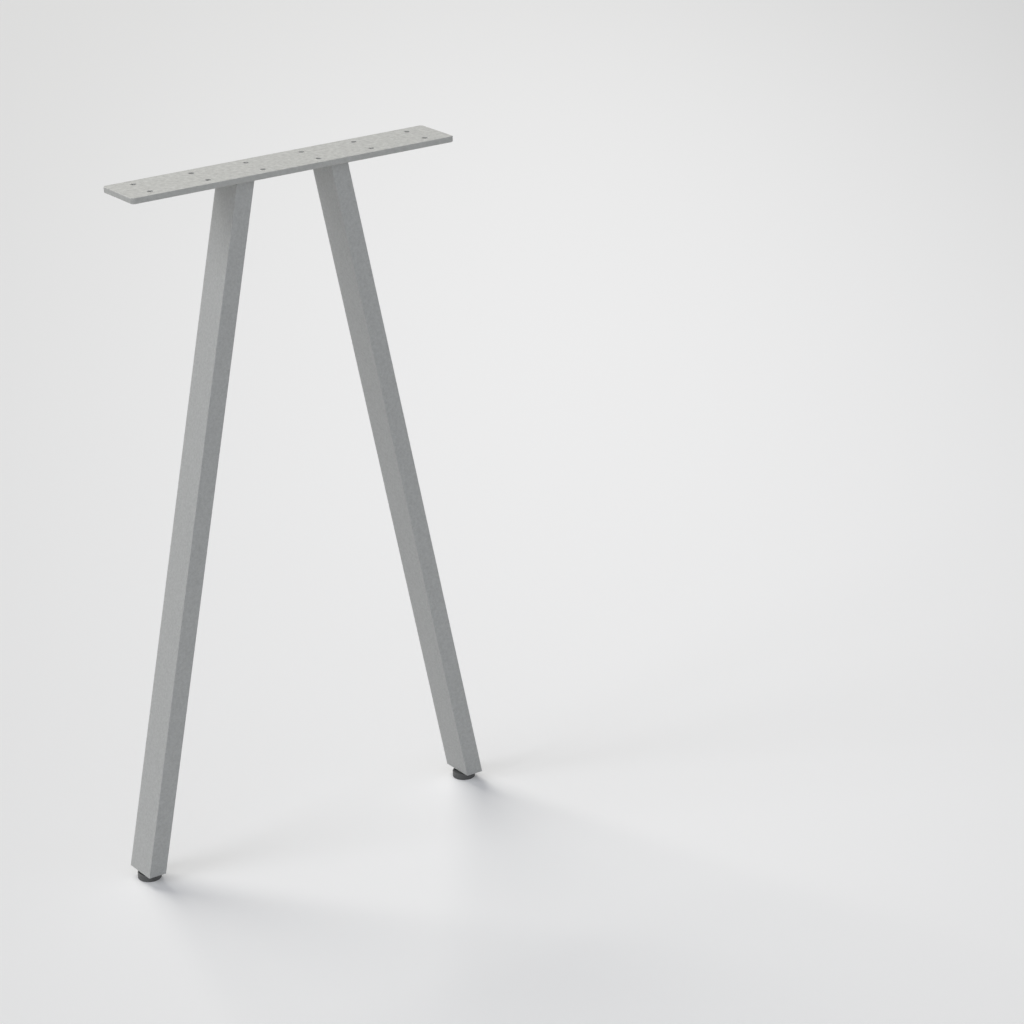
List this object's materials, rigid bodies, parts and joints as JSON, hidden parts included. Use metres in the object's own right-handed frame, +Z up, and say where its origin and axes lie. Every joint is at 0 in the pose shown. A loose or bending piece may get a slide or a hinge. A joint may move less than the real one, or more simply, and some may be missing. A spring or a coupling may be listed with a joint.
{
  "type": "table leg",
  "caption": "A-shaped steel table leg: splayed rectangular tubes welded under a drilled flat mounting plate, standing on adjustable screw feet.",
  "frame": {"origin": "centre of the top face of the mounting plate, the face that goes against the table top; the feet stand at Z -745 mm", "axes": "+X along the mounting plate, +Y across it, +Z up into the table top; left is -X and the picture looks at the -Y side"},
  "size_m": [0.4292, 0.06, 0.745],
  "materials": {
    "powder_coated_steel": "light grey fine-textured powder coat",
    "zinc_plated_steel": "bright zinc plate",
    "black_nylon": "matt moulded black"
  },
  "bodies": {
    "frame": {"mounting_plate": "powder_coated_steel", "left_leg_tube": "powder_coated_steel", "right_leg_tube": "powder_coated_steel", "left_top_weld": "powder_coated_steel", "right_top_weld": "powder_coated_steel", "left_end_plate": "powder_coated_steel", "right_end_plate": "powder_coated_steel", "left_weld_nut": "zinc_plated_steel", "right_weld_nut": "zinc_plated_steel"},
    "left_base": {"left_foot_base": "black_nylon"},
    "left_stud": {"left_foot_stud": "zinc_plated_steel"},
    "right_base": {"right_foot_base": "black_nylon"},
    "right_stud": {"right_foot_stud": "zinc_plated_steel"}
  },
  "joints": [
    {"name": "left_foot_travel", "type": "slide", "parent": "frame", "child": "left_base", "axis": [0, 0, -1], "range_m": [0, 0.01]},
    {"name": "left_stud_turn", "type": "hinge", "parent": "left_base", "child": "left_stud", "pos_m": [-0.20215, 0, 0], "axis": [0, 0, -1], "range_deg": [0, 2880]},
    {"name": "right_foot_travel", "type": "slide", "parent": "frame", "child": "right_base", "axis": [0, 0, -1], "range_m": [0, 0.01]},
    {"name": "right_stud_turn", "type": "hinge", "parent": "right_base", "child": "right_stud", "pos_m": [0.20215, 0, 0], "axis": [0, 0, -1], "range_deg": [0, 2880]}
  ],
  "couplings": [
    {"joint": "left_stud_turn", "follows": "left_foot_travel", "rad_per_m": 5026.5},
    {"joint": "right_stud_turn", "follows": "right_foot_travel", "rad_per_m": 5026.5}
  ]
}
